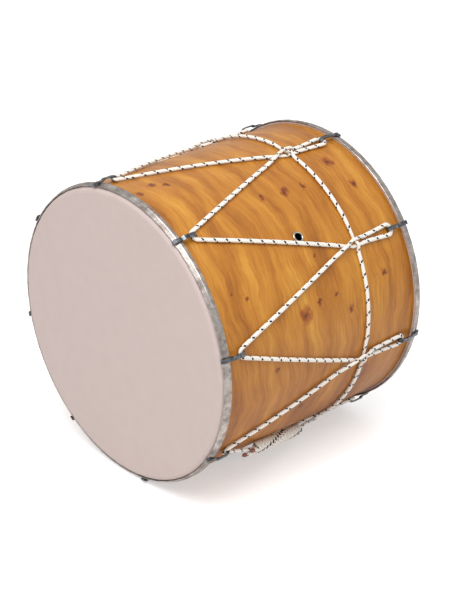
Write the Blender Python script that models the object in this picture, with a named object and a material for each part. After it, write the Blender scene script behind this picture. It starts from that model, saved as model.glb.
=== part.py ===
"""A Caucasian drum: a bent wood shell with a film head on each end, laced together by one cord.

The drum lies on its side. Its axis runs along Y, with the front head facing -Y, and the floor
is at z = 0. Every piece is modelled round the drum's own axis and hangs on one empty, where an
angle of 0 is the top of the drum and 90 degrees is its +X side.
"""

import math

import bmesh
import bpy
from mathutils import Matrix, Vector

MM = 0.001

# Room left between two pieces that touch on the real drum
GAP = 0.3 * MM

# Wooden shell
SHELL_RADIUS = 170.5 * MM
SHELL_LENGTH = 306 * MM
SHELL_WALL = 7 * MM
EDGE_ROUND = 5 * MM
EDGE_FLAT = 0.8 * MM

# Film heads: a flat disc whose rim is drawn down over the shell into the hoop
FILM = 0.8 * MM
SKIRT_DEPTH = 10.4 * MM
FOOT_WIDTH = 1.4 * MM

# Rolled metal hoops, open towards the middle of the drum
HOOP_CHANNEL = 3.1 * MM
HOOP_SHEET = 1.0 * MM
HOOP_DEPTH = 9.3 * MM
HOOP_BEAD = 4.0 * MM
HOOP_CONE = 0.6 * MM
HOOP_SETBACK = 2.3 * MM

# Steel hooks that catch the hoops and hold the cord
HOOKS = 8
FRONT_HOOK_ANGLE = 33.2
REAR_HOOK_ANGLE = 11.6
HOOK_WIDTH = 5 * MM
HOOK_STRIP = 1.5 * MM
HOOK_REACH = 20 * MM
HOOK_CURL = 3.1 * MM
HOOK_CURL_END = 128
HOOK_CLAW = 3.4 * MM

# Braided cord
CORD = 4.8 * MM
PINCHED = 0.8
BEND_RADIUS = 6 * MM

# Where the legs of the cord cross, and where the ring cord ties each pair of legs
CROSSING_TO_RING = 15 * MM
STRAND_SPREAD = 3.65 * MM
RING_HEIGHTS = [71, 70, 63.5, 58, 60, 63, 67, 71]
HANDLE_HOOK = 3

# Handle: the spare cord wound round one leg
HANDLE_START = -68 * MM
HANDLE_END = 30 * MM
HANDLE_TURNS = 14
WOUND_WIDTH = 6.5 * MM
WOUND_THICKNESS = 4.0 * MM
TAIL_LENGTHS = [14 * MM, 20 * MM]
TAIL_SIDE = 55

# Nickel eyelet in the vent hole
VENT_ANGLE = 47.0
VENT_BORE = 4.5 * MM
EYELET_SHEET = 0.7 * MM
EYELET_FLANGE = 6.7 * MM

SEGMENTS = 64
WELD = 0.002 * MM
STEP = 360 / HOOKS

# Sizes that follow from those above
RIM = SHELL_LENGTH / 2
HEAD_FACE = RIM + GAP + FILM
SKIRT_RADIUS = SHELL_RADIUS + GAP + FILM
HOOP_BORE = SKIRT_RADIUS + GAP
HOOP_RADIUS = HOOP_BORE + HOOP_CHANNEL
HOOP_CREST = HEAD_FACE - HOOP_SETBACK
HOOP_BACK = HOOP_CREST - HOOP_DEPTH
BEAD_TOP = HOOP_BACK + HOOP_BEAD
CORD_LOW = SHELL_RADIUS + GAP + CORD / 2
PINCHED_CORD = CORD * PINCHED
PINCHED_LOW = SHELL_RADIUS + GAP + PINCHED_CORD / 2
PINCHED_HIGH = PINCHED_LOW + PINCHED_CORD + GAP
BIGHT = BEAD_TOP - HOOK_REACH
CURL_RADIUS = CORD_LOW + 2.2 * GAP
BIGHT_RADIUS = CURL_RADIUS - GAP
WOUND_CORE = CORD / 2 + GAP
WOUND_RADIUS = WOUND_CORE + WOUND_THICKNESS / 2
HANDLE_RADIUS = SHELL_RADIUS + 2 * GAP + WOUND_CORE + WOUND_THICKNESS


def clear_scene():
    for old in list(bpy.data.objects):
        bpy.data.objects.remove(old, do_unlink=True)


def finish(name, red, green, blue, roughness, metallic=0.0):
    """A plain Principled material in the colour of the real piece."""
    material = bpy.data.materials.new(name)
    material.use_nodes = True
    shader = material.node_tree.nodes["Principled BSDF"]
    shader.inputs["Base Color"].default_value = (red, green, blue, 1)
    shader.inputs["Roughness"].default_value = roughness
    shader.inputs["Metallic"].default_value = metallic
    material.diffuse_color = (red, green, blue, 1)
    return material


def drum_axis():
    """The empty that carries the drum: its Z is the drum's axis and its X points to the top."""
    empty = bpy.data.objects.new("drum_axis", None)
    bpy.context.scene.collection.objects.link(empty)
    turn = Matrix(((0, 1, 0), (0, 0, 1), (1, 0, 0))).to_4x4()
    empty.matrix_world = turn
    return empty


def add(name, data, material, axis, smooth_below=35):
    """Puts a mesh or a curve on the drum's axis under this name."""
    piece = bpy.data.objects.new(name, data)
    bpy.context.scene.collection.objects.link(piece)
    piece.parent = axis
    data.materials.append(material)
    if isinstance(data, bpy.types.Mesh):
        data.shade_smooth()
        data.set_sharp_from_angle(angle=math.radians(smooth_below))
    return piece


def around(angle, radius, height):
    """A point on the drum: degrees from its top, distance from its axis, and place along it."""
    turned = math.radians(angle)
    return Vector((radius * math.cos(turned), radius * math.sin(turned), height))


def turned_mesh(name, profile, closed, steps=SEGMENTS):
    """A profile of (radius, height) points spun about Z, with a flat facet at the bottom."""
    mesh = bpy.data.meshes.new(name)
    shape = bmesh.new()
    half_step = math.pi / steps
    points = [shape.verts.new((r * math.cos(half_step), r * math.sin(half_step), z)) for r, z in profile]
    pairs = list(zip(points, points[1:]))
    if closed:
        pairs.append((points[-1], points[0]))
    edges = [shape.edges.new(pair) for pair in pairs]
    bmesh.ops.spin(shape, geom=points + edges, axis=(0, 0, 1), cent=(0, 0, 0), dvec=(0, 0, 0),
                   angle=2 * math.pi, steps=steps, use_duplicate=False)
    bmesh.ops.remove_doubles(shape, verts=shape.verts, dist=WELD)
    bmesh.ops.recalc_face_normals(shape, faces=shape.faces)
    shape.to_mesh(mesh)
    shape.free()
    return mesh


def arc(radius, height, size, start, end, steps):
    """Points (radius, height) on a circle of this size, from one angle in degrees to another."""
    found = []
    for step in range(steps + 1):
        turned = math.radians(start + (end - start) * step / steps)
        found.append((radius + size * math.cos(turned), height + size * math.sin(turned)))
    return found


def shell(axis, wood):
    """A bent wood tube with a rounded bearing edge at each end and the vent hole in its side."""
    crest = SHELL_RADIUS - EDGE_ROUND
    inside = SHELL_RADIUS - SHELL_WALL
    edge = arc(crest, RIM - EDGE_ROUND, EDGE_ROUND, 0, 90, 3)
    edge += [(crest - EDGE_FLAT, RIM), (inside, RIM - SHELL_WALL + EDGE_ROUND + EDGE_FLAT)]
    profile = edge + [(r, -z) for r, z in reversed(edge)]
    body = add("shell", turned_mesh("shell", profile, closed=True), wood, axis)
    hole = bmesh.new()
    bmesh.ops.create_cone(hole, cap_ends=True, segments=24, radius1=VENT_BORE + EYELET_SHEET + GAP,
                          radius2=VENT_BORE + EYELET_SHEET + GAP, depth=4 * SHELL_WALL)
    cutter_mesh = bpy.data.meshes.new("vent_hole")
    hole.to_mesh(cutter_mesh)
    hole.free()
    cutter = bpy.data.objects.new("vent_hole", cutter_mesh)
    bpy.context.scene.collection.objects.link(cutter)
    cutter.parent = axis
    cutter.matrix_local = vent_place(SHELL_RADIUS - SHELL_WALL / 2)
    cutter.hide_render = True
    cutter.display_type = "WIRE"
    cut = body.modifiers.new("vent_hole", "BOOLEAN")
    cut.operation = "DIFFERENCE"
    cut.solver = "EXACT"
    cut.object = cutter


def vent_place(radius):
    """Turns +Z to point out of the shell at the vent, this far from the drum's axis."""
    turned = math.radians(VENT_ANGLE)
    out = Matrix.Rotation(turned, 4, "Z") @ Matrix.Rotation(math.pi / 2, 4, "Y")
    return Matrix.Translation(around(VENT_ANGLE, radius, 0)) @ out


def vent_eyelet(axis, nickel):
    """A flanged tube through the wall, its inner end rolled over."""
    barrel = VENT_BORE + EYELET_SHEET
    top = GAP
    under = -SHELL_WALL - GAP
    roll = EYELET_FLANGE - barrel
    outer = arc(barrel - EYELET_SHEET / 2 + roll / 2, top, roll / 2 + EYELET_SHEET / 2, 0, 180, 6)
    inner = [(VENT_BORE, under - 2 * EYELET_SHEET), (barrel + 2 * EYELET_SHEET, under - 1.6 * EYELET_SHEET),
             (barrel + 2 * EYELET_SHEET, under - 0.4 * EYELET_SHEET), (barrel, under)]
    profile = outer + inner + [(barrel, top)]
    piece = add("vent_eyelet", turned_mesh("vent_eyelet", profile, closed=True, steps=24), nickel, axis)
    piece.matrix_local = vent_place(SHELL_RADIUS)


def head(name, side, axis, film):
    """A film disc whose rim rounds over the bearing edge and ends in a foot inside the hoop."""
    crest = SHELL_RADIUS - EDGE_ROUND
    corner = RIM - EDGE_ROUND
    foot = HEAD_FACE - SKIRT_DEPTH
    upper = [(0, HEAD_FACE)] + arc(crest, corner, EDGE_ROUND + GAP + FILM, 90, 0, 4)
    tip = [(SKIRT_RADIUS, foot + FILM), (SKIRT_RADIUS + FOOT_WIDTH, foot + FILM),
           (SKIRT_RADIUS + FOOT_WIDTH, foot), (SKIRT_RADIUS - FILM, foot)]
    lower = arc(crest, corner, EDGE_ROUND + GAP, 0, 90, 4) + [(0, RIM + GAP)]
    profile = [(r, side * z) for r, z in upper + tip + lower]
    add(name, turned_mesh(name, profile, closed=False), film, axis)


def hoop(name, side, axis, metal):
    """A hoop rolled from sheet: a bead outside, a cone up to the crest, and a wall by the skirt."""
    foot = HEAD_FACE - SKIRT_DEPTH + FILM + GAP
    wall = HOOP_BORE + HOOP_SHEET
    cone = HOOP_RADIUS - HOOP_CONE
    profile = [(HOOP_BORE, foot), (HOOP_BORE, HOOP_CREST - HOOP_SHEET / 2),
               (HOOP_BORE + HOOP_SHEET / 2, HOOP_CREST), (wall + HOOP_SHEET / 4, HOOP_CREST - HOOP_SHEET / 4),
               (cone, BEAD_TOP + HOOP_SHEET), (HOOP_RADIUS, BEAD_TOP), (HOOP_RADIUS, HOOP_BACK + HOOP_SHEET / 2),
               (HOOP_RADIUS - HOOP_SHEET / 2, HOOP_BACK), (HOOP_RADIUS - HOOP_SHEET, HOOP_BACK),
               (HOOP_RADIUS - HOOP_SHEET, BEAD_TOP - HOOP_SHEET / 2), (wall, HOOP_CREST - 2.2 * HOOP_SHEET),
               (wall, foot)]
    profile = [(r, side * z) for r, z in profile]
    add(name, turned_mesh(name, profile, closed=True), metal, axis)


def strip_mesh(name, route, width, thickness):
    """A flat strip whose middle follows (radius, height) points, as wide as it says along Y."""
    mesh = bpy.data.meshes.new(name)
    shape = bmesh.new()
    rings = []
    for place, (r, z) in enumerate(route):
        before = Vector(route[max(place - 1, 0)])
        after = Vector(route[min(place + 1, len(route) - 1)])
        here = Vector((r, z))
        into = (here - before).normalized() if place else (after - here).normalized()
        out = (after - here).normalized() if place < len(route) - 1 else into
        across = Vector((-(into + out).y, (into + out).x)).normalized()
        across *= thickness / 2 / max(across.dot(Vector((-into.y, into.x))), 0.5)
        corners = [(1, 1), (1, -1), (-1, -1), (-1, 1)]
        rings.append([shape.verts.new((r + up * across.x, half * width / 2, z + up * across.y))
                      for up, half in corners])
    for first, second in zip(rings, rings[1:]):
        for corner in range(4):
            nxt = (corner + 1) % 4
            shape.faces.new((first[corner], first[nxt], second[nxt], second[corner]))
    shape.faces.new(rings[0])
    shape.faces.new(reversed(rings[-1]))
    bmesh.ops.recalc_face_normals(shape, faces=shape.faces)
    shape.to_mesh(mesh)
    shape.free()
    return mesh


def hook_route(side):
    """The middle of a hook's strip, from its claw over the hoop's crest to its curl round the cord."""
    half = HOOK_STRIP / 2
    along_hoop = HOOP_RADIUS + GAP + half
    in_front = HOOP_CREST + GAP + half
    curl = HOOK_CURL + half
    curl_height = BIGHT - GAP
    claw = [(along_hoop - HOOK_CLAW, in_front), (along_hoop - 0.55 * HOOK_CLAW, in_front),
            (along_hoop - 0.1 * HOOK_CLAW, in_front - 0.45 * HOOK_CLAW),
            (along_hoop, in_front - HOOK_CLAW)]
    rise = [(along_hoop, HOOP_BACK - half), (CURL_RADIUS + curl, HOOP_BACK - 2.5 * HOOK_STRIP)]
    bend = arc(CURL_RADIUS, curl_height, curl, 0, -HOOK_CURL_END, 7)
    # The curl runs from the strip's outer face, over the cord, towards the middle of the drum.
    route = claw + rise + bend
    return [(r, side * z) for r, z in route]


def hooks(name, start, side, axis, steel):
    """Equal hooks round one hoop. Each is its own object and they share one mesh."""
    mesh = strip_mesh(name, hook_route(side), HOOK_WIDTH, HOOK_STRIP)
    mesh.materials.append(steel)
    mesh.shade_smooth()
    mesh.set_sharp_from_angle(angle=math.radians(35))
    for count in range(HOOKS):
        piece = bpy.data.objects.new(f"{name}_{count + 1}", mesh)
        bpy.context.scene.collection.objects.link(piece)
        piece.parent = axis
        piece.rotation_euler.z = math.radians(start + STEP * count)


def beside(angle, across, height, radius, thick=1.0):
    """A cord point this far across from an angle, with the share of its thickness it keeps."""
    return around(angle + math.degrees(across / radius), radius, height), thick


def bight(angle, side, lean, first):
    """The turn of the cord round a hook. lean is how far its legs open, first the side it starts on."""
    found = []
    reach = 90 - lean
    centre = BIGHT - BEND_RADIUS
    for step in range(7):
        turned = math.radians(reach * (1 - step / 3))
        across = first * BEND_RADIUS * math.sin(turned)
        height = side * (centre + BEND_RADIUS * math.cos(turned))
        found.append(beside(angle, across, height, BIGHT_RADIUS))
    return found


def crossing(count):
    """The height at which the two legs of this rear hook cross."""
    return RING_HEIGHTS[count] * MM - CROSSING_TO_RING


def leg_opening():
    """How far a leg of the cord leans from the drum's axis, in degrees."""
    across = math.radians(STEP / 2) * SHELL_RADIUS
    return math.degrees(math.atan2(across, BIGHT + crossing(0)))


def strand(count, edge, over):
    """The cord from a crossing to its rear hook, along one edge of the pair."""
    angle = REAR_HOOK_ANGLE + STEP * count
    top = PINCHED_HIGH if over else PINCHED_LOW
    mid = (top + CORD_LOW) / 2
    cross = crossing(count)
    ring = cross + CROSSING_TO_RING
    held = PINCHED_CORD
    after = ring + 3 * CORD
    hook_end = BIGHT - BEND_RADIUS
    middle = (0.8 * STRAND_SPREAD + BEND_RADIUS) / 2
    return [
        beside(angle, 0, cross, top, PINCHED),
        beside(angle, edge * 0.75 * STRAND_SPREAD, cross + CROSSING_TO_RING / 2, top, PINCHED),
        beside(angle, edge * STRAND_SPREAD, ring - held, top, PINCHED),
        beside(angle, edge * STRAND_SPREAD, ring + held, top, PINCHED),
        beside(angle, edge * STRAND_SPREAD, (ring + held + after) / 2, mid, (PINCHED + 1) / 2),
        beside(angle, edge * 0.9 * STRAND_SPREAD, after, CORD_LOW),
        beside(angle, edge * middle, (after + hook_end) / 2, CORD_LOW),
    ]


def leg_angles(rear, front):
    """The angles at which a leg leaves its crossing and meets its front hook."""
    inward = math.copysign(1, rear - front)
    opening = math.radians(90 - leg_opening())
    return rear, front + inward * math.degrees(BEND_RADIUS * math.sin(opening) / BIGHT_RADIUS)


def leg(count, front, over, handle=False):
    """A taut leg from a crossing to a front hook, lying on the shell between them."""
    begin, end = leg_angles(REAR_HOOK_ANGLE + STEP * count, front)
    foot = -(BIGHT - BEND_RADIUS + BEND_RADIUS * math.sin(math.radians(leg_opening())))
    cross = crossing(count)
    top = PINCHED_HIGH if over else PINCHED_LOW
    if handle:
        lifted = [(0.05 + 0.094 * step, HANDLE_RADIUS) for step in range(8)]
        lifted += [(0.82, (HANDLE_RADIUS + CORD_LOW) / 2), (0.93, CORD_LOW)]
    else:
        lifted = [(0.07, (top + CORD_LOW) / 2)] + [(0.15 + 0.13 * step, CORD_LOW) for step in range(7)]
    found = []
    for share, radius in lifted:
        height = cross + (foot - cross) * share
        found.append((around(begin + (end - begin) * share, radius, height), 1.0))
    return found


def lacing_route():
    """The whole zigzag, as points with the share of the cord's thickness kept at each."""
    route = []
    lean = leg_opening()
    for count in range(HOOKS):
        rear = REAR_HOOK_ANGLE + STEP * count
        before = rear - STEP + (FRONT_HOOK_ANGLE - REAR_HOOK_ANGLE)
        after = rear + (FRONT_HOOK_ANGLE - REAR_HOOK_ANGLE)
        held = count == HANDLE_HOOK
        route += list(reversed(leg(count, before, over=held, handle=held)))
        route += strand(count, 1, over=held)
        route += bight(rear, 1, -3, 1)
        route += list(reversed(strand(count, -1, over=not held)))
        route += leg(count, after, over=not held)
        route += bight(after, -1, lean, -1)
    return route


def cord(name, route, axis, fibre, closed=False):
    """A tube of the cord's thickness along the route."""
    curve = bpy.data.curves.new(name, "CURVE")
    curve.dimensions = "3D"
    curve.bevel_depth = CORD / 2
    curve.bevel_resolution = 1
    curve.use_fill_caps = True
    line = curve.splines.new("POLY")
    line.points.add(len(route) - 1)
    for point, (place, thick) in zip(line.points, route):
        point.co = (*place, 1)
        point.radius = thick
    line.use_cyclic_u = closed
    return add(name, curve, fibre, axis)


def ring_route():
    """Round the shell once, threading each pair of legs under one strand and over the other."""
    reach = PINCHED_CORD + 1.2 * GAP
    lift = (PINCHED_HIGH - PINCHED_LOW) / 2
    meet = math.degrees(math.atan2(-lift, STRAND_SPREAD))
    route = []
    for turn in range(HOOKS):
        count = (HANDLE_HOOK + turn) % HOOKS
        rear = REAR_HOOK_ANGLE + STEP * count
        here = RING_HEIGHTS[count] * MM
        there = RING_HEIGHTS[(count + 1) % HOOKS] * MM
        # The strand that the cord goes under lies on the -X side of the pair, except at the handle.
        order = -1 if count == HANDLE_HOOK else 1
        pair = []
        for degrees in (-90, (meet - 90) / 2, meet):
            turned = math.radians(degrees)
            pair.append((-STRAND_SPREAD + reach * math.cos(turned), PINCHED_HIGH + reach * math.sin(turned)))
        for degrees in (180 + (meet - 90) / 2, 90, 52):
            turned = math.radians(degrees)
            pair.append((STRAND_SPREAD + reach * math.cos(turned), PINCHED_LOW + reach * math.sin(turned)))
        pair.insert(0, (-2.6 * STRAND_SPREAD, PINCHED_LOW))
        pair.append((3.1 * STRAND_SPREAD, CORD_LOW))
        if order < 0:
            pair = [(-across, radius) for across, radius in reversed(pair)]
        for across, radius in pair:
            height = here + (there - here) * max(across, 0) / (math.radians(STEP) * SHELL_RADIUS)
            route.append(beside(rear, across, height, radius, PINCHED if radius != CORD_LOW else 1.0))
        for step in range(6):
            share = 0.2 + 0.12 * step
            height = here + (there - here) * share
            route.append((around(rear + STEP * share, CORD_LOW, height), 1.0))
    return route


def handle_line(share):
    """The middle of the handle: a point, and its directions along, out of the shell and across."""
    rear = REAR_HOOK_ANGLE + STEP * HANDLE_HOOK
    front = rear - STEP + (FRONT_HOOK_ANGLE - REAR_HOOK_ANGLE)
    begin, end = leg_angles(rear, front)
    foot = -(BIGHT - BEND_RADIUS + BEND_RADIUS * math.sin(math.radians(leg_opening())))

    cross = crossing(HANDLE_HOOK)

    def place(height):
        part = (height - cross) / (foot - cross)
        return around(begin + (end - begin) * part, HANDLE_RADIUS, height)

    height = HANDLE_START + (HANDLE_END - HANDLE_START) * share
    here = place(height)
    along = (place(height + MM) - place(height - MM)).normalized()
    out = Vector((here.x, here.y, 0)).normalized()
    across = along.cross(out).normalized()
    out = across.cross(along).normalized()
    return here, along, out, across


def winding_mesh(name):
    """The cord wound on the leg: a flattened tube along a helix."""
    per_turn = 12
    sides = 6
    length = (handle_line(1)[0] - handle_line(0)[0]).length
    pitch = length / HANDLE_TURNS
    points = []
    for step in range(HANDLE_TURNS * per_turn + 1):
        turn = step / per_turn
        here, along, out, across = handle_line(turn * pitch / length)
        angle = 2 * math.pi * turn + math.radians(200)
        radial = out * math.cos(angle) + across * math.sin(angle)
        points.append((here + radial * WOUND_RADIUS, radial))
    mesh = bpy.data.meshes.new(name)
    shape = bmesh.new()
    rings = []
    for place, (point, radial) in enumerate(points):
        before = points[max(place - 1, 0)][0]
        after = points[min(place + 1, len(points) - 1)][0]
        run = (after - before).normalized()
        wide = run.cross(radial).normalized()
        thick = wide.cross(run).normalized()
        ring = []
        for corner in range(sides):
            turned = 2 * math.pi * (corner + 0.5) / sides
            offset = wide * (WOUND_WIDTH / 2 * math.cos(turned) / math.cos(math.pi / sides))
            offset += thick * (WOUND_THICKNESS / 2 * math.sin(turned))
            ring.append(shape.verts.new(point + offset))
        rings.append(ring)
    for one, two in zip(rings, rings[1:]):
        for corner in range(sides):
            nxt = (corner + 1) % sides
            shape.faces.new((one[corner], one[nxt], two[nxt], two[corner]))
    shape.faces.new(rings[0])
    shape.faces.new(reversed(rings[-1]))
    bmesh.ops.recalc_face_normals(shape, faces=shape.faces)
    print_least_gap([[vertex.co.copy() for vertex in ring] for ring in rings], per_turn)
    shape.to_mesh(mesh)
    shape.free()
    return mesh


def tail_route(which):
    """A loose end of the cord, lying against the leg where the winding starts."""
    here, along, out, across = handle_line(0)
    turned = math.radians(TAIL_SIDE if which else -TAIL_SIDE)
    offset = (out * math.cos(turned) + across * math.sin(turned)) * (CORD + GAP)
    first = here + offset + along * -(WOUND_WIDTH / 2 + GAP)
    return [(first, 1.0), (first - along * TAIL_LENGTHS[which], 1.0)]


def print_least_gap(rings, per_turn):
    """Prints the least distance between points of neighbouring turns."""
    least = min((a - b).length for place, ring in enumerate(rings)
                for other in rings[place + per_turn - 2:place + per_turn + 3] for a in ring for b in other)
    print(f"least gap between turns of the handle: {least / MM:.2f} mm")


def set_down(axis):
    """Raises the drum until its lowest point is on the floor."""
    bpy.context.view_layer.update()
    graph = bpy.context.evaluated_depsgraph_get()
    lowest = 0
    for piece in axis.children:
        if not piece.hide_render:
            solid = piece.evaluated_get(graph)
            points = solid.to_mesh().vertices
            lowest = min(lowest, min((solid.matrix_world @ point.co).z for point in points))
            solid.to_mesh_clear()
    axis.location.z -= lowest


def main():
    clear_scene()
    axis = drum_axis()
    wood = finish("burl veneer", 0.60, 0.30, 0.07, 0.35)
    film = finish("plastic film", 0.62, 0.48, 0.43, 0.5)
    metal = finish("rolled aluminium", 0.45, 0.43, 0.42, 0.35, 1.0)
    steel = finish("hook steel", 0.10, 0.11, 0.12, 0.4, 1.0)
    nickel = finish("nickel", 0.65, 0.62, 0.58, 0.2, 1.0)
    fibre = finish("braided cord", 0.78, 0.72, 0.62, 0.8)
    shell(axis, wood)
    vent_eyelet(axis, nickel)
    head("front_head", -1, axis, film)
    head("rear_head", 1, axis, film)
    hoop("front_hoop", -1, axis, metal)
    hoop("rear_hoop", 1, axis, metal)
    hooks("front_hook", FRONT_HOOK_ANGLE, -1, axis, steel)
    hooks("rear_hook", REAR_HOOK_ANGLE, 1, axis, steel)
    cord("lacing_cord", lacing_route(), axis, fibre, closed=True)
    cord("ring_cord", ring_route(), axis, fibre, closed=True)
    add("handle_winding", winding_mesh("handle_winding"), fibre, axis)
    for which in range(len(TAIL_LENGTHS)):
        cord(f"cord_tail_{which + 1}", tail_route(which), axis, fibre)
    set_down(axis)


main()
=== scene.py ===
import math

import bpy
from mathutils import Matrix, Vector


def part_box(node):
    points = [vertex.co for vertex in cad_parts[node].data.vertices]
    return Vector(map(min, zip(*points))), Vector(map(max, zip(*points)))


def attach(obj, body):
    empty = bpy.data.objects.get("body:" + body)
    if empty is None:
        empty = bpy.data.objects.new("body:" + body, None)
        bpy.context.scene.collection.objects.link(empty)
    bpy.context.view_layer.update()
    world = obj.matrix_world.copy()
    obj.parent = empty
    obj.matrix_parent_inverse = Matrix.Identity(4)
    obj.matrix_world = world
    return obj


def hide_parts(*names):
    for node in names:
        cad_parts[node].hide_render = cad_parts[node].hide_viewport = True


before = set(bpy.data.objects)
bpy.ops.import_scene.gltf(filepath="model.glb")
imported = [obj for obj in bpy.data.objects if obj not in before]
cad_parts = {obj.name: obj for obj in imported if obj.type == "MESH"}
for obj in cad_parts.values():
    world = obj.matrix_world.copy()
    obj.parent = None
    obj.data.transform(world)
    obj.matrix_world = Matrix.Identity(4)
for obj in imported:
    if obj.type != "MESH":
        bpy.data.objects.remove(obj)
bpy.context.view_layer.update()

# Camera, at the photograph's place: lens, place and angles come from a fit to the two hoops.
low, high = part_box("shell")
AXIS_HEIGHT = (low[2] + high[2]) / 2
LENS_MM = 103.46
CAMERA_PLACE = (1.3382, -1.2088, 0.8840 + AXIS_HEIGHT)
CAMERA_TILT, CAMERA_AZIMUTH = 63.744, 47.77
camera_data = bpy.data.cameras.new("camera")
camera_data.lens = LENS_MM
camera = bpy.data.objects.new("camera", camera_data)
bpy.context.scene.collection.objects.link(camera)
camera.location = CAMERA_PLACE
camera.rotation_euler = (math.radians(CAMERA_TILT), 0, math.radians(CAMERA_AZIMUTH))
bpy.context.scene.camera = camera
bpy.context.scene.view_settings.view_transform = "Standard"


def colour(code):
    """Linear RGBA from an sRGB hex value."""
    parts = [int(code[k:k + 2], 16) / 255 for k in (0, 2, 4)]
    return (*[p / 12.92 if p <= 0.04045 else ((p + 0.055) / 1.055) ** 2.4 for p in parts], 1)


def material(name, roughness, metallic=0.0):
    """A new material, its node tree and its Principled shader."""
    made = bpy.data.materials.new(name)
    made.use_nodes = True
    shader = made.node_tree.nodes["Principled BSDF"]
    shader.inputs["Roughness"].default_value = roughness
    shader.inputs["Metallic"].default_value = metallic
    return made, made.node_tree, shader


def add(tree, kind, links=(), **settings):
    """A node with its settings, and its inputs joined to the outputs or values given."""
    node = tree.nodes.new("ShaderNode" + kind)
    for key, value in settings.items():
        setattr(node, key, value)
    for key, value in links:
        if isinstance(value, bpy.types.NodeSocket):
            tree.links.new(value, node.inputs[key])
        else:
            node.inputs[key].default_value = value
    return node


def calc(tree, operation, *values, kind="Math"):
    """The result of a Math or Vector Math node on these values."""
    return add(tree, kind, list(enumerate(values)), operation=operation).outputs


def noise(tree, place, scale, detail=2.0, roughness=0.5):
    links = [("Vector", place), ("Scale", scale), ("Detail", detail), ("Roughness", roughness)]
    return add(tree, "TexNoise", links).outputs


def multiplied(tree, share, first, second):
    """The first colour darkened by this share of the second."""
    links = [("Fac", share), ("Color1", first), ("Color2", second)]
    return add(tree, "MixRGB", links, blend_type="MULTIPLY").outputs[0]


def ramp(tree, factor, stops):
    """A colour that follows the factor through stops of a place and an sRGB hex value."""
    node = add(tree, "ValToRGB", [("Fac", factor)])
    while len(node.color_ramp.elements) < len(stops):
        node.color_ramp.elements.new(0.5)
    for element, (place, code) in zip(node.color_ramp.elements, stops):
        element.position = place
        element.color = colour(code)
    return node.outputs["Color"]


def bump(tree, shader, height, distance, strength):
    """Relief of this depth in metres under the shader."""
    links = [("Height", height), ("Distance", distance), ("Strength", strength)]
    tree.links.new(add(tree, "Bump", links).outputs["Normal"], shader.inputs["Normal"])


def paint(made, *node_names):
    """Gives these CAD pieces the material."""
    for node_name in node_names:
        for slot in bpy.data.objects[node_name].material_slots:
            slot.material = made


# Shell: golden burl veneer under a satin lacquer. The figure runs round the drum in waves, with
# dark knots and streaks, and painted shade darkens it towards the floor. The skin coordinate is metres
# round the drum from its top, and metres along it.
MM = 0.001
SHELL_RADIUS = 170.5 * MM
SHELL_LENGTH = 306 * MM
veneer, tree, shader = material("burl veneer, lacquered", 0.42)
shader.inputs["Coat Weight"].default_value = 0.1
place = add(tree, "TexCoord").outputs["Object"]
axes = add(tree, "SeparateXYZ", [("Vector", place)]).outputs
up = calc(tree, "ADD", axes["Z"], -AXIS_HEIGHT)[0]
turn = calc(tree, "ARCTAN2", axes["X"], up)[0]
round_it = calc(tree, "MULTIPLY", turn, SHELL_RADIUS)[0]
skin = add(tree, "CombineXYZ", [("X", round_it), ("Y", axes["Y"])]).outputs[0]

# The figure sways by up to 30 mm, and its clouds and fine streaks are long round the drum.
SWAY = (0.03, 0.03, 0.0)
CLOUD_STRETCH = (0.16, 1.0, 1.0)
STREAK_STRETCH = (0.05, 1.0, 1.0)
sway = noise(tree, skin, scale=16.0, detail=4.0)["Color"]
swayed = calc(tree, "MULTIPLY", sway, SWAY, kind="VectorMath")[0]
bent = calc(tree, "ADD", skin, swayed, kind="VectorMath")[0]
long_way = calc(tree, "MULTIPLY", bent, CLOUD_STRETCH, kind="VectorMath")[0]
clouds = noise(tree, long_way, scale=40.0, detail=8.0, roughness=0.6)["Fac"]
wood = ramp(tree, clouds, [(0.28, "8A4E10"), (0.42, "AE6C18"), (0.54, "C28026"), (0.7, "D59A38")])
streaks = calc(tree, "MULTIPLY", bent, STREAK_STRETCH, kind="VectorMath")[0]
grain = noise(tree, streaks, scale=420.0, detail=4.0)["Fac"]
lines = ramp(tree, grain, [(0.3, "C99E6C"), (0.55, "FFFFFF")])
mixed = multiplied(tree, 0.4, wood, lines)

# The photographed knots: degrees from the top, millimetres from the front hoop's edge, and their
# size. Noise breaks their edges, and half its reach is added back to each centre.
FRONT_EDGE = SHELL_LENGTH / 2 - 6 * MM
KNOTS = [(5, 16, 5), (2, 40, 6), (5, 54, 4), (27, 136, 5), (28, 168, 8), (29, 195, 6),
         (58, 34, 3), (61, 48, 3), (75, 123, 12), (72, 145, 5), (55, 157, 3), (72, 172, 4),
         (79, 190, 6), (22, 253, 9), (35, 260, 6), (71, 247, 5), (91, 76, 4), (116, 130, 5)]
RAGGED = 0.016
shape = noise(tree, skin, scale=130.0, detail=5.0)["Color"]
rough_edge = calc(tree, "MULTIPLY", shape, (RAGGED, RAGGED, 0.0), kind="VectorMath")[0]
patchy = calc(tree, "ADD", skin, rough_edge, kind="VectorMath")[0]
knot_depth = None
for degrees, along_mm, size_mm in KNOTS:
    centre = (math.radians(degrees) * SHELL_RADIUS + RAGGED / 2,
              along_mm * MM - FRONT_EDGE + RAGGED / 2, 0.0)
    away = calc(tree, "DISTANCE", patchy, centre, kind="VectorMath")["Value"]
    near = add(tree, "MapRange", [("Value", away), ("From Min", 0.0), ("From Max", size_mm * MM),
                                  ("To Min", 1.0), ("To Max", 0.0)]).outputs[0]
    knot_depth = near if knot_depth is None else calc(tree, "MAXIMUM", knot_depth, near)[0]
dark = ramp(tree, knot_depth, [(0.0, "FFFFFF"), (0.45, "C99A66"), (0.75, "8A5A30"), (1.0, "5A3216")])
knotted = multiplied(tree, 0.9, mixed, dark)
# Painted shade: below this height above the floor the veneer is darkened, more the lower it lies.
PAINTED_SHADE_BELOW = 0.2
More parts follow.
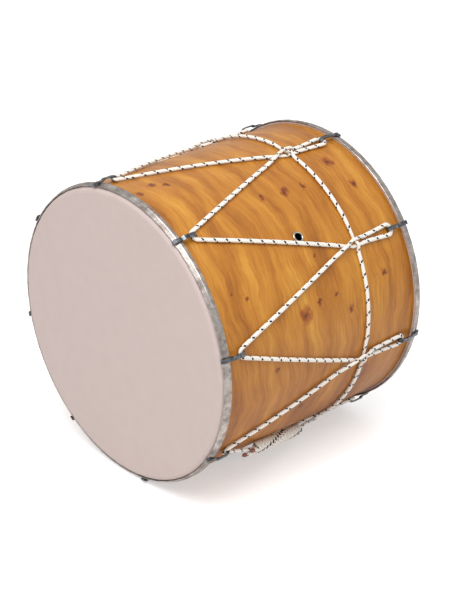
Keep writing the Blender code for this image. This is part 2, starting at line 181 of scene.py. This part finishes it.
painted_shade_share = add(tree, "MapRange", [("Value", axes["Z"]), ("From Min", 0.0), ("From Max", PAINTED_SHADE_BELOW),
                                 ("To Min", 0.6), ("To Max", 0.0)]).outputs[0]
veneer_with_painted_shade = multiplied(tree, painted_shade_share, knotted, colour("C08A72"))
tree.links.new(veneer_with_painted_shade, shader.inputs["Base Color"])
bump(tree, shader, clouds, distance=0.0003, strength=0.3)
paint(veneer, "shell")

# Eyelet: bright nickel plate with faint wear in its gloss.
plate, tree, shader = material("nickel plate", 0.18, metallic=1.0)
place = add(tree, "TexCoord").outputs["Object"]
rub = noise(tree, place, scale=400.0)["Fac"]
shine = ramp(tree, rub, [(0.3, "B9B2A8"), (0.7, "E4DED4")])
tree.links.new(shine, shader.inputs["Base Color"])
paint(plate, "vent_eyelet")

# Heads: matte plastic film, a little pink, with a faint mottle and a fine tooth in its coating.
film, tree, shader = material("coated polyester film", 0.5)
place = add(tree, "TexCoord").outputs["Object"]
mottle = ramp(tree, noise(tree, place, scale=60.0, detail=6.0)["Fac"], [(0.3, "C9B6B1"), (0.7, "CCBAB4")])
tree.links.new(mottle, shader.inputs["Base Color"])
bump(tree, shader, noise(tree, place, scale=2500.0)["Fac"], distance=0.00005, strength=0.5)
paint(film, "front_head", "rear_head")

# Hoops: rolled aluminium, stained by handling, with a pitted skin.
rolled, tree, shader = material("rolled aluminium", 0.38, metallic=1.0)
place = add(tree, "TexCoord").outputs["Object"]
stains = noise(tree, place, scale=90.0, detail=7.0, roughness=0.7)["Fac"]
stained = ramp(tree, stains, [(0.35, "8C827C"), (0.5, "B5ACA6"), (0.68, "DAD3CD")])
tree.links.new(stained, shader.inputs["Base Color"])
bump(tree, shader, noise(tree, place, scale=900.0)["Fac"], distance=0.0002, strength=0.6)
paint(rolled, "front_hoop", "rear_hoop")

# Hooks: dark spring steel with worn, brighter patches. There are as many at each end.
HOOKS = 8
spring, tree, shader = material("blued spring steel", 0.33, metallic=1.0)
place = add(tree, "TexCoord").outputs["Object"]
worn = noise(tree, place, scale=240.0, detail=5.0)["Fac"]
patches = ramp(tree, worn, [(0.35, "4A4C4F"), (0.55, "7C7F82"), (0.75, "B4B6B8")])
tree.links.new(patches, shader.inputs["Base Color"])
paint(spring, *[f"{end}_{count + 1}" for end in ("front_hook", "rear_hook") for count in range(HOOKS)])

# Cord: a white braid. Two sets of strands slant across each other, and a black tracer thread shows
# as short dashes. Its UVs are millimetres along the cord and turns about it.
FLECK_PITCH = 14.5
STRAND_PITCH = 3.0
STRANDS = 4


def braid_material(name, melted_from=None):
    """The braid, turned to brown melted plastic from this many millimetres along."""
    made, tree, shader = material(name, 0.85)
    lie = add(tree, "UVMap", uv_map="UVMap").outputs[0]
    part = add(tree, "SeparateXYZ", [("Vector", lie)]).outputs
    along, about = part["X"], part["Y"]

    def slanted(period, turns, way):
        """Rises from 0 to 1 across each of the stripes that wind round the cord."""
        first = calc(tree, "MULTIPLY", along, 1 / period)[0]
        return calc(tree, "FRACT", calc(tree, "MULTIPLY_ADD", about, way * turns, first)[0])[0]

    waves = []
    for way in (-1, 1):
        lift = calc(tree, "SUBTRACT", slanted(STRAND_PITCH, STRANDS, way), 0.5)[0]
        waves.append(calc(tree, "ABSOLUTE", lift)[0])
    height = calc(tree, "MAXIMUM", *waves)[0]
    # Painted shade: the braid is darker where its relief is low, in the grooves between strands.
    braid_with_painted_groove_shade = ramp(tree, height, [(0.12, "CFC5B6"), (0.28, "F2ECE2"), (0.5, "FFFBF4")])
    stripe = calc(tree, "LESS_THAN", slanted(FLECK_PITCH, 1, 1), 0.2)[0]
    shown = calc(tree, "LESS_THAN", slanted(FLECK_PITCH / 2, 2, -1), 0.7)[0]
    fleck = calc(tree, "MULTIPLY", stripe, shown)[0]
    links = [("Fac", fleck), ("Color1", braid_with_painted_groove_shade), ("Color2", colour("1E1B1A"))]
    result = add(tree, "MixRGB", links).outputs[0]
    if melted_from is not None:
        ended = calc(tree, "GREATER_THAN", along, melted_from)[0]
        links = [("Fac", ended), ("Color1", result), ("Color2", colour("8F5F50"))]
        result = add(tree, "MixRGB", links).outputs[0]
    tree.links.new(result, shader.inputs["Base Color"])
    bump(tree, shader, height, distance=0.0006, strength=0.8)
    return made


# The cord's routes are those of the part's solids, from the same sizes. GAP is the room between
# pieces that touch, and heights run along the drum from its middle to the rear.
GAP = 0.3 * MM
FRONT_HOOK_ANGLE = 33.2
REAR_HOOK_ANGLE = 11.6
STEP = 360 / HOOKS
CORD = 4.8 * MM
PINCHED = 0.8
BEND_RADIUS = 6 * MM
BIGHT_STEPS = 3
REAR_LEAN = 3
CROSSING_TO_RING = 15 * MM
STRAND_SPREAD = 3.65 * MM
RING_HEIGHTS = [71, 70, 63.5, 58, 60, 63, 67, 71]

# The turns round the hooks: a film over the shell's edge, a hoop behind it, and the hook's reach.
FILM = 0.8 * MM
HOOP_SETBACK = 2.3 * MM
HOOP_DEPTH = 9.3 * MM
HOOP_BEAD = 4.0 * MM
HOOK_REACH = 20 * MM
HEAD_FACE = SHELL_LENGTH / 2 + GAP + FILM
HOOP_BACK = HEAD_FACE - HOOP_SETBACK - HOOP_DEPTH
BIGHT = HOOP_BACK + HOOP_BEAD - HOOK_REACH
CORD_LOW = SHELL_RADIUS + GAP + CORD / 2
BIGHT_RADIUS = CORD_LOW + 1.2 * GAP
PINCHED_CORD = CORD * PINCHED
PINCHED_LOW = SHELL_RADIUS + GAP + PINCHED_CORD / 2
PINCHED_HIGH = PINCHED_LOW + PINCHED_CORD + GAP

# The handle, wound on the leg that runs to this rear hook, and the two ends beside it.
HANDLE_HOOK = 3
HANDLE_START = -68 * MM
HANDLE_END = 30 * MM
HANDLE_TURNS = 14
WOUND_WIDTH = 6.5 * MM
WOUND_THICKNESS = 4.0 * MM
WOUND_CORE = CORD / 2 + GAP
WOUND_RADIUS = WOUND_CORE + WOUND_THICKNESS / 2
HANDLE_RADIUS = SHELL_RADIUS + 2 * GAP + WOUND_CORE + WOUND_THICKNESS
TAIL_LENGTHS = [14 * MM, 20 * MM]
TAIL_SIDE = 55


def around(angle, radius, height):
    """A point on the drum: degrees from its top, distance from its axis, and place along it."""
    turned = math.radians(angle)
    return Vector((radius * math.cos(turned), radius * math.sin(turned), height))


def beside(angle, across, height, radius, thick=1.0):
    """A cord point this far across from an angle, with the share of its thickness it keeps."""
    return around(angle + math.degrees(across / radius), radius, height), thick


def bight(angle, side, lean, first):
    """The turn of the cord round a hook: lean is how far its legs open, first the side it starts on."""
    found = []
    reach = 90 - lean
    centre = BIGHT - BEND_RADIUS
    for step in range(2 * BIGHT_STEPS + 1):
        turned = math.radians(reach * (1 - step / BIGHT_STEPS))
        across = first * BEND_RADIUS * math.sin(turned)
        height = side * (centre + BEND_RADIUS * math.cos(turned))
        found.append(beside(angle, across, height, BIGHT_RADIUS))
    return found


def crossing(count):
    """The height at which the two legs of this rear hook cross."""
    return RING_HEIGHTS[count] * MM - CROSSING_TO_RING


def leg_opening():
    """How far a leg of the cord leans from the drum's axis, in degrees."""
    across = math.radians(STEP / 2) * SHELL_RADIUS
    return math.degrees(math.atan2(across, BIGHT + crossing(0)))


def strand(count, edge, over):
    """The cord from a crossing to its rear hook, along one edge of the pair."""
    angle = REAR_HOOK_ANGLE + STEP * count
    top = PINCHED_HIGH if over else PINCHED_LOW
    mid = (top + CORD_LOW) / 2
    cross = crossing(count)
    ring = cross + CROSSING_TO_RING
    held = PINCHED_CORD
    after = ring + 3 * CORD
    hook_end = BIGHT - BEND_RADIUS
    middle = (0.8 * STRAND_SPREAD + BEND_RADIUS) / 2
    return [
        beside(angle, 0, cross, top, PINCHED),
        beside(angle, edge * 0.75 * STRAND_SPREAD, cross + CROSSING_TO_RING / 2, top, PINCHED),
        beside(angle, edge * STRAND_SPREAD, ring - held, top, PINCHED),
        beside(angle, edge * STRAND_SPREAD, ring + held, top, PINCHED),
        beside(angle, edge * STRAND_SPREAD, (ring + held + after) / 2, mid, (PINCHED + 1) / 2),
        beside(angle, edge * 0.9 * STRAND_SPREAD, after, CORD_LOW),
        beside(angle, edge * middle, (after + hook_end) / 2, CORD_LOW),
    ]


def leg_angles(rear, front):
    """The angles at which a leg leaves its crossing and meets its front hook."""
    inward = math.copysign(1, rear - front)
    opening = math.radians(90 - leg_opening())
    return rear, front + inward * math.degrees(BEND_RADIUS * math.sin(opening) / BIGHT_RADIUS)


def leg(count, front, over, handle=False):
    """A taut leg from a crossing to a front hook, lying on the shell between them."""
    begin, end = leg_angles(REAR_HOOK_ANGLE + STEP * count, front)
    foot = -(BIGHT - BEND_RADIUS + BEND_RADIUS * math.sin(math.radians(leg_opening())))
    cross = crossing(count)
    top = PINCHED_HIGH if over else PINCHED_LOW
    if handle:
        lifted = [(0.05 + 0.094 * step, HANDLE_RADIUS) for step in range(8)]
        lifted += [(0.82, (HANDLE_RADIUS + CORD_LOW) / 2), (0.93, CORD_LOW)]
    else:
        lifted = [(0.07, (top + CORD_LOW) / 2)]
        lifted += [(0.15 + 0.13 * step, CORD_LOW) for step in range(7)]
    found = []
    for share, radius in lifted:
        height = cross + (foot - cross) * share
        found.append((around(begin + (end - begin) * share, radius, height), 1.0))
    return found


def lacing_route():
    """The whole zigzag, as points with the share of the cord's thickness kept at each."""
    route = []
    lean = leg_opening()
    for count in range(HOOKS):
        rear = REAR_HOOK_ANGLE + STEP * count
        before = rear - STEP + (FRONT_HOOK_ANGLE - REAR_HOOK_ANGLE)
        after = rear + (FRONT_HOOK_ANGLE - REAR_HOOK_ANGLE)
        held = count == HANDLE_HOOK
        route += list(reversed(leg(count, before, over=held, handle=held)))
        route += strand(count, 1, over=held)
        route += bight(rear, 1, -REAR_LEAN, 1)
        route += list(reversed(strand(count, -1, over=not held)))
        route += leg(count, after, over=not held)
        route += bight(after, -1, lean, -1)
    return route


def ring_route():
    """Round the shell once, threading each pair of legs under one strand and over the other."""
    reach = PINCHED_CORD + 1.2 * GAP
    lift = (PINCHED_HIGH - PINCHED_LOW) / 2
    meet = math.degrees(math.atan2(-lift, STRAND_SPREAD))
    route = []
    for turn in range(HOOKS):
        count = (HANDLE_HOOK + turn) % HOOKS
        rear = REAR_HOOK_ANGLE + STEP * count
        here = RING_HEIGHTS[count] * MM
        there = RING_HEIGHTS[(count + 1) % HOOKS] * MM
        # The strand that the cord goes under lies on the -X side of the pair, except at the handle.
        order = -1 if count == HANDLE_HOOK else 1
        pair = []
        for degrees in (-90, (meet - 90) / 2, meet):
            turned = math.radians(degrees)
            pair.append((-STRAND_SPREAD + reach * math.cos(turned),
                         PINCHED_HIGH + reach * math.sin(turned)))
        for degrees in (180 + (meet - 90) / 2, 90, 52):
            turned = math.radians(degrees)
            pair.append((STRAND_SPREAD + reach * math.cos(turned),
                         PINCHED_LOW + reach * math.sin(turned)))
        pair.insert(0, (-2.6 * STRAND_SPREAD, PINCHED_LOW))
        pair.append((3.1 * STRAND_SPREAD, CORD_LOW))
        if order < 0:
            pair = [(-across, radius) for across, radius in reversed(pair)]
        for across, radius in pair:
            height = here + (there - here) * max(across, 0) / (math.radians(STEP) * SHELL_RADIUS)
            kept = PINCHED if radius != CORD_LOW else 1.0
            route.append(beside(rear, across, height, radius, kept))
        for step in range(6):
            share = 0.2 + 0.12 * step
            height = here + (there - here) * share
            route.append((around(rear + STEP * share, CORD_LOW, height), 1.0))
    return route


def handle_line(share):
    """The middle of the handle: a point, and its directions along, out of the shell and across."""
    rear = REAR_HOOK_ANGLE + STEP * HANDLE_HOOK
    front = rear - STEP + (FRONT_HOOK_ANGLE - REAR_HOOK_ANGLE)
    begin, end = leg_angles(rear, front)
    foot = -(BIGHT - BEND_RADIUS + BEND_RADIUS * math.sin(math.radians(leg_opening())))
    cross = crossing(HANDLE_HOOK)

    def place(height):
        part = (height - cross) / (foot - cross)
        return around(begin + (end - begin) * part, HANDLE_RADIUS, height)

    height = HANDLE_START + (HANDLE_END - HANDLE_START) * share
    here = place(height)
    along = (place(height + MM) - place(height - MM)).normalized()
    out = Vector((here.x, here.y, 0)).normalized()
    across = along.cross(out).normalized()
    out = across.cross(along).normalized()
    return here, along, out, across


def tail_route(which):
    """A loose end of the cord, lying against the leg where the winding starts."""
    here, along, out, across = handle_line(0)
    turned = math.radians(TAIL_SIDE if which else -TAIL_SIDE)
    offset = (out * math.cos(turned) + across * math.sin(turned)) * (CORD + GAP)
    first = here + offset + along * -(WOUND_WIDTH / 2 + GAP)
    return [(first, 1.0), (first - along * TAIL_LENGTHS[which], 1.0)]


# A tube's sides, and the drum's own frame: its Z is the drum's axis and its X points to the top.
ROUND = 14
DRUM_FRAME = Matrix(((0, 1, 0), (0, 0, 1), (1, 0, 0))).to_4x4()
TO_WORLD = Matrix.Translation((0, 0, AXIS_HEIGHT)) @ DRUM_FRAME


def smooth(route, closed, steps=5):
    """Points along a Catmull-Rom curve through the route, each with its thickness."""
    found = []
    count = len(route)
    for k in range(count if closed else count - 1):
        near = [route[(k + d) % count] if closed else route[min(max(k + d, 0), count - 1)]
                for d in (-1, 0, 1, 2)]
        for step in range(steps):
            t = step / steps
            weights = (0.5 * (-t + 2 * t * t - t ** 3), 0.5 * (2 - 5 * t * t + 3 * t ** 3),
                       0.5 * (t + 4 * t * t - 3 * t ** 3), 0.5 * (t ** 3 - t * t))
            point = sum((w * n[0] for w, n in zip(weights, near)), Vector())
            found.append((point, sum(w * n[1] for w, n in zip(weights, near))))
    return found if closed else found + [route[-1]]


def tube(name, route, made, replaced, closed=False, wide=CORD / 2, thick=CORD / 2, out=None):
    """A cord's skin round its route, with UVs of millimetres along it and turns about it."""
    count = len(route)
    points, corners, lengths = [], [], [0.0]
    for k, (point, share) in enumerate(route):
        before = route[(k - 1) % count if closed else max(k - 1, 0)][0]
        after = route[(k + 1) % count if closed else min(k + 1, count - 1)][0]
        run = (after - before).normalized()
        radial = out[k] if out else Vector((point.x, point.y, 0)).normalized()
        side = run.cross(radial).normalized()
        rise = side.cross(run).normalized()
        for c in range(ROUND):
            turned = 2 * math.pi * c / ROUND
            points.append(TO_WORLD @ (point + side * wide * share * math.cos(turned)
                                      + rise * thick * share * math.sin(turned)))
        lengths.append(lengths[-1] + (route[(k + 1) % count][0] - point).length / MM)
    spans = count if closed else count - 1
    lie = []
    for k in range(spans):
        for c in range(ROUND):
            a, b = k * ROUND + c, k * ROUND + (c + 1) % ROUND
            n = (k + 1) % count * ROUND
            corners.append((a, n + c, n + (c + 1) % ROUND, b))
            lie += [(lengths[k], c / ROUND), (lengths[k + 1], c / ROUND),
                    (lengths[k + 1], (c + 1) / ROUND), (lengths[k], (c + 1) / ROUND)]
    if not closed:
        corners.append(tuple(range(ROUND)))
        corners.append(tuple(reversed(range((count - 1) * ROUND, count * ROUND))))
        lie += [(0, 0)] * ROUND + [(lengths[count - 1], 0)] * ROUND
    mesh = bpy.data.meshes.new(name)
    mesh.from_pydata(points, [], corners)
    for loop, uv in zip(mesh.uv_layers.new(name="UVMap").data, lie):
        loop.uv = uv
    mesh.materials.append(made)
    mesh.shade_smooth()
    if signed_volume(mesh) < 0:
        mesh.flip_normals()
    piece = bpy.data.objects.new(name, mesh)
    bpy.context.scene.collection.objects.link(piece)
    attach(piece, "root")
    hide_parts(replaced)


def signed_volume(mesh):
    """Six times the volume, negative where the faces point inwards."""
    mesh.calc_loop_triangles()
    total = 0
    for triangle in mesh.loop_triangles:
        first, second, third = (mesh.vertices[index].co for index in triangle.vertices)
        total += first.dot(second.cross(third))
    return total


# Lacing and ring: round and smooth, and a little flattened where they lie on the shell.
braid = braid_material("braided cord")
FLATTENED = 0.42 * CORD
tube("lacing", smooth(lacing_route(), True), braid, "lacing_cord", closed=True, thick=FLATTENED)
tube("ring", smooth(ring_route(), True), braid, "ring_cord", closed=True, thick=FLATTENED)

# Handle: flattened turns side by side, starting at the same angle as in the part.
PER_TURN = 28
START_ANGLE = 200
turns, outward = [], []
for step in range(HANDLE_TURNS * PER_TURN + 1):
    here, along, out, across = handle_line(step / PER_TURN / HANDLE_TURNS)
    angle = 2 * math.pi * step / PER_TURN + math.radians(START_ANGLE)
    radial = out * math.cos(angle) + across * math.sin(angle)
    turns.append((here + radial * WOUND_RADIUS, 1.0))
    outward.append(radial)
tube("handle", turns, braid, "handle_winding", wide=WOUND_WIDTH / 2, thick=WOUND_THICKNESS / 2,
     out=outward)

# Cord ends: straight, with the last 5 mm melted brown and drawn in at the tip.
MELTED_MM = 5
TIP = 0.75
TAIL_STEPS = 8
for which, tail in enumerate(TAIL_LENGTHS):
    start, end = (point for point, share in tail_route(which))
    path = [(start.lerp(end, k / TAIL_STEPS), TIP if k == TAIL_STEPS else 1.0)
            for k in range(TAIL_STEPS + 1)]
    melted = braid_material(f"cord end {which + 1}", melted_from=tail / MM - MELTED_MM)
    tube(f"tail_{which + 1}", path, melted, f"cord_tail_{which + 1}")

# Floor: white, and it keeps the drum's shadow. The camera alone sees its glow.
FLOOR_REACH = 20
FLOOR_GLOW = 0.45
corners = [(-1, -1), (1, -1), (1, 1), (-1, 1)]
floor_mesh = bpy.data.meshes.new("floor")
floor_mesh.from_pydata([(x * FLOOR_REACH, y * FLOOR_REACH, 0) for x, y in corners], [], [(0, 1, 2, 3)])
floor = bpy.data.objects.new("floor", floor_mesh)
bpy.context.scene.collection.objects.link(floor)
white, tree, shader = material("white floor", 0.9)
shader.inputs["Base Color"].default_value = colour("F2F2F2")
shader.inputs["Emission Color"].default_value = colour("FFFFFF")
seen = add(tree, "LightPath").outputs["Is Camera Ray"]
tree.links.new(calc(tree, "MULTIPLY", seen, FLOOR_GLOW)[0], shader.inputs["Emission Strength"])
floor_mesh.materials.append(white)

# Light: an even white sky, and a large soft box above the drum on the camera's side.
sky = bpy.data.worlds.new("sky")
bpy.context.scene.world = sky
sky.use_nodes = True
background = sky.node_tree.nodes["Background"]
background.inputs["Color"].default_value = colour("FFFFFF")
background.inputs["Strength"].default_value = 0.65
box_light = bpy.data.lights.new("soft box", "AREA")
box_light.size = 1.5
box_light.energy = 28
lamp = bpy.data.objects.new("soft box", box_light)
bpy.context.scene.collection.objects.link(lamp)
lamp.location = (0.5, -0.7, 1.9)
to_drum = Vector((0, 0, AXIS_HEIGHT)) - lamp.location
lamp.rotation_euler = to_drum.to_track_quat("-Z", "Y").to_euler()
